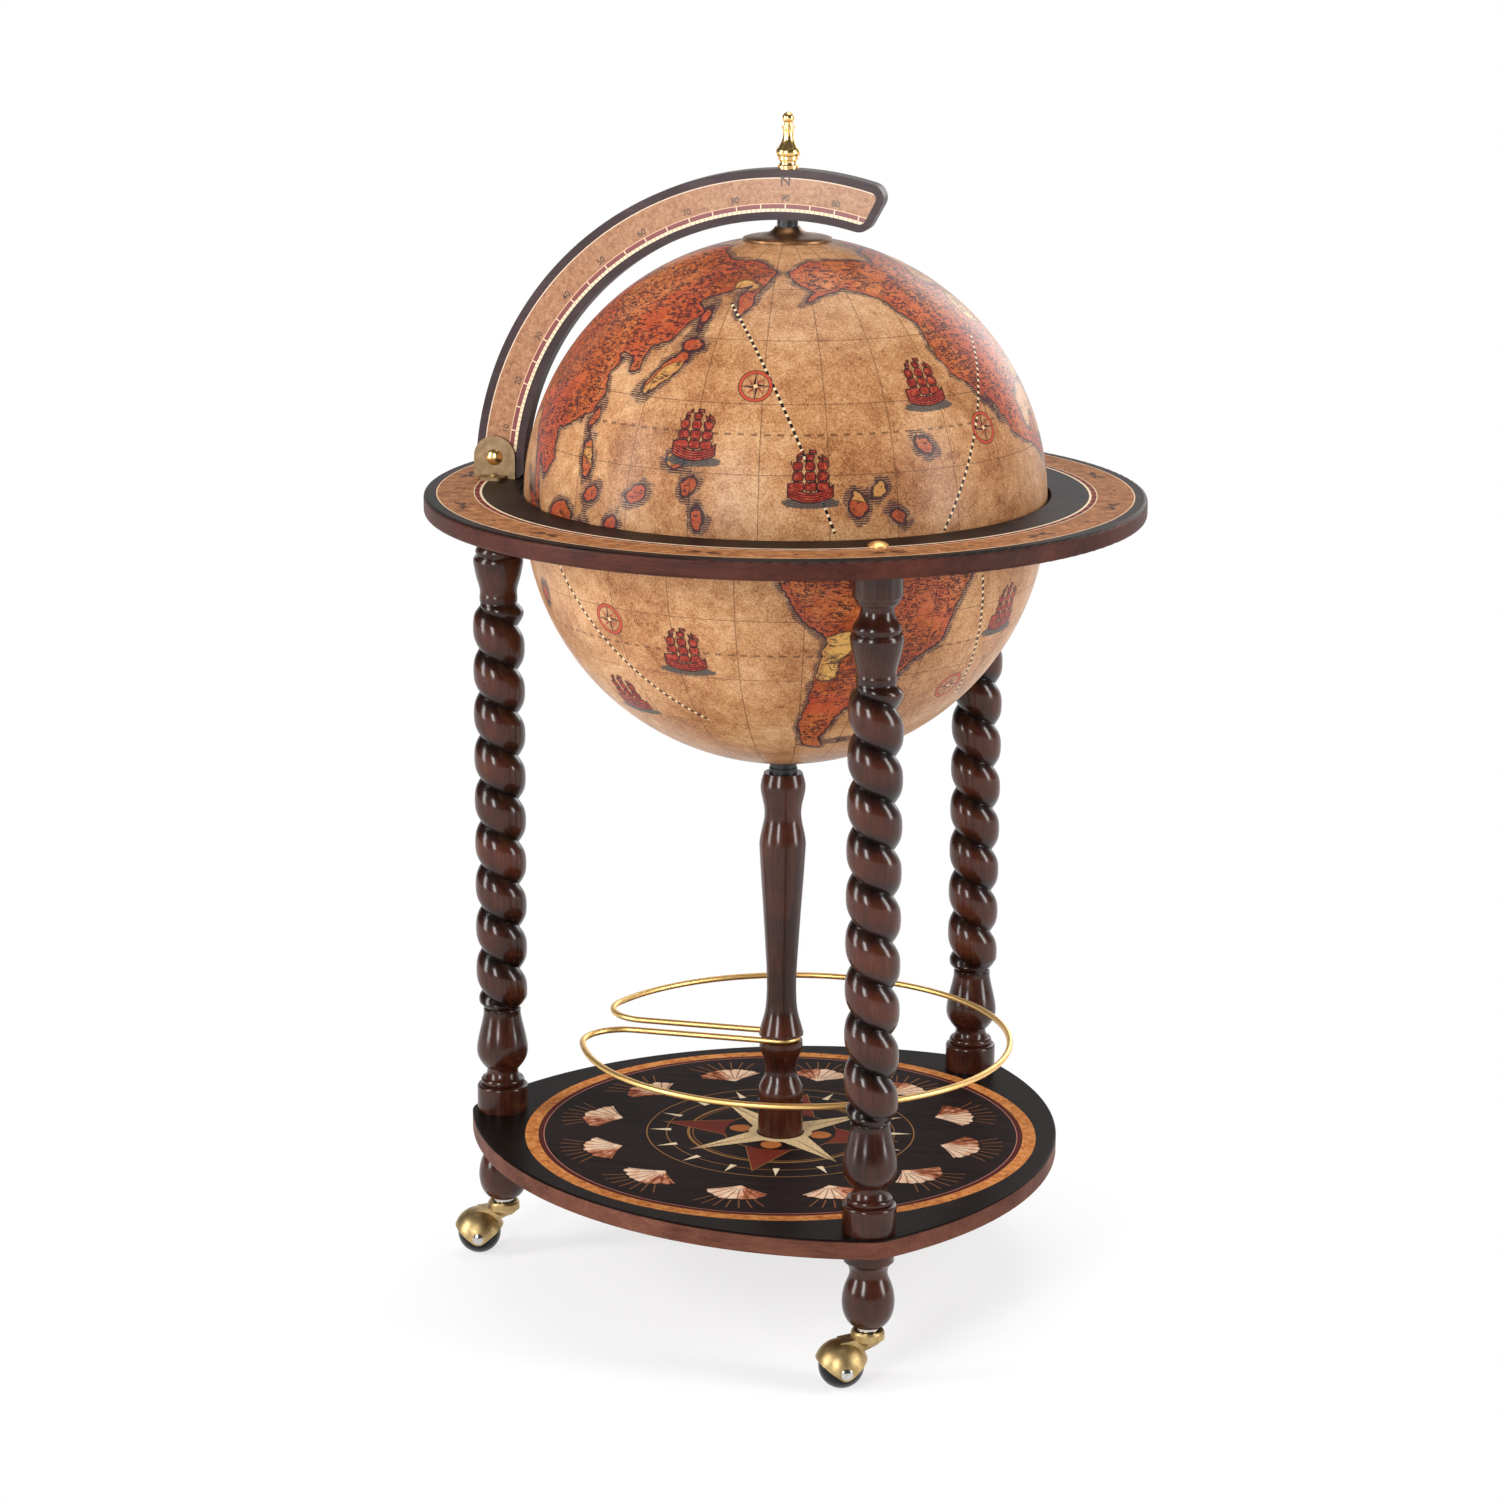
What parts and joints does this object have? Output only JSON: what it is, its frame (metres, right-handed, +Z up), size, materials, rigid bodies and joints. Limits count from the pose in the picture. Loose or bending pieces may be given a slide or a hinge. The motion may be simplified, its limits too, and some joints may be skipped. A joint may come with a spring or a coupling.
{
  "type": "floor globe bar",
  "caption": "Floor-standing globe drinks bar: hinged globe lid and bowl in a horizon ring on spiral-turned legs, with a railed bottle shelf on casters.",
  "frame": {"origin": "on the floor, under the globe's axis", "axes": "+Z up along the globe's axis; the lid's hinge is at -X, over one leg"},
  "size_m": [0.5519, 0.552, 0.9272],
  "materials": {
    "stained_wood": "gloss lacquer",
    "dark_frame_wood": "gloss lacquer",
    "printed_paper": "varnished print on wood veneer",
    "globe_skin": "varnished print",
    "liner_wood": "satin",
    "black_wheel": "satin",
    "bright_steel": "polished",
    "antique_brass": "antique",
    "polished_brass": "polished",
    "black_bush": "satin",
    "cup_plastic": "gloss",
    "steel_fastener": "plain"
  },
  "bodies": {
    "stand": {"base_board": "stained_wood", "base_print": "printed_paper", "foot_left": "stained_wood", "foot_front": "stained_wood", "foot_back": "stained_wood", "foot_bolts": "steel_fastener", "caster_sockets": "bright_steel", "leg_left": "stained_wood", "leg_front": "stained_wood", "leg_back": "stained_wood", "center_column": "stained_wood", "column_screw": "steel_fastener", "column_bush": "black_bush", "thrust_washer": "steel_fastener", "bowl_spindle": "steel_fastener", "bowl_nut": "steel_fastener", "bottle_rail": "polished_brass", "horizon_ring": "dark_frame_wood", "horizon_print": "printed_paper", "ring_bolts": "steel_fastener", "ring_cap_nuts": "polished_brass", "ring_flush_nut": "steel_fastener", "hinge_cheek_front": "antique_brass", "hinge_cheek_back": "antique_brass", "hinge_bolt": "antique_brass", "hinge_nut": "antique_brass", "hinge_screws": "antique_brass"},
    "meridian": {"meridian_arc": "dark_frame_wood", "meridian_print_front": "printed_paper", "meridian_print_back": "printed_paper", "finial": "polished_brass", "pole_pin": "steel_fastener", "pole_spacer": "black_bush", "pole_nut": "steel_fastener"},
    "dome": {"dome_shell": "globe_skin", "dome_hoop": "liner_wood", "pole_cap": "antique_brass", "pole_bushing": "steel_fastener"},
    "bowl": {"bowl_shell": "globe_skin", "bowl_collar": "black_bush", "bar_tray": "liner_wood", "bottle_floor": "liner_wood", "glass_cups": "cup_plastic"},
    "caster_left": {"caster_hood_left": "antique_brass", "caster_stem_left": "steel_fastener", "caster_axle_left": "bright_steel"},
    "wheel_left": {"caster_wheel_left": "black_wheel"},
    "caster_front": {"caster_hood_front": "antique_brass", "caster_stem_front": "steel_fastener", "caster_axle_front": "bright_steel"},
    "wheel_front": {"caster_wheel_front": "black_wheel"},
    "caster_back": {"caster_hood_back": "antique_brass", "caster_stem_back": "steel_fastener", "caster_axle_back": "bright_steel"},
    "wheel_back": {"caster_wheel_back": "black_wheel"}
  },
  "joints": [
    {"name": "dome_lift", "type": "hinge", "parent": "stand", "child": "meridian", "pos_m": [-0.229, 0, 0.6565], "axis": [0, -1, 0], "range_deg": [0, 85]},
    {"name": "dome_spin", "type": "hinge", "parent": "meridian", "child": "dome", "pos_m": [0, 0, 0.634], "axis": [0, 0, 1], "continuous": true},
    {"name": "bowl_spin", "type": "hinge", "parent": "stand", "child": "bowl", "pos_m": [0, 0, 0.427], "axis": [0, 0, 1], "continuous": true},
    {"name": "caster_swivel_left", "type": "hinge", "parent": "stand", "child": "caster_left", "pos_m": [-0.23, 0, 0.045], "axis": [0, 0, 1], "continuous": true},
    {"name": "wheel_roll_left", "type": "hinge", "parent": "caster_left", "child": "wheel_left", "pos_m": [-0.24945, -0.00467, 0.0173], "axis": [0.2334, -0.9724, 0], "continuous": true},
    {"name": "caster_swivel_front", "type": "hinge", "parent": "stand", "child": "caster_front", "pos_m": [0.115, -0.19919, 0.045], "axis": [0, 0, 1], "continuous": true},
    {"name": "wheel_roll_front", "type": "hinge", "parent": "caster_front", "child": "wheel_front", "pos_m": [0.09687, -0.20764, 0.0173], "axis": [0.4226, -0.9063, 0], "continuous": true},
    {"name": "caster_swivel_back", "type": "hinge", "parent": "stand", "child": "caster_back", "pos_m": [0.115, 0.19919, 0.045], "axis": [0, 0, 1], "continuous": true},
    {"name": "wheel_roll_back", "type": "hinge", "parent": "caster_back", "child": "wheel_back", "pos_m": [0.09687, 0.19073, 0.0173], "axis": [0.4226, -0.9063, 0], "continuous": true}
  ]
}
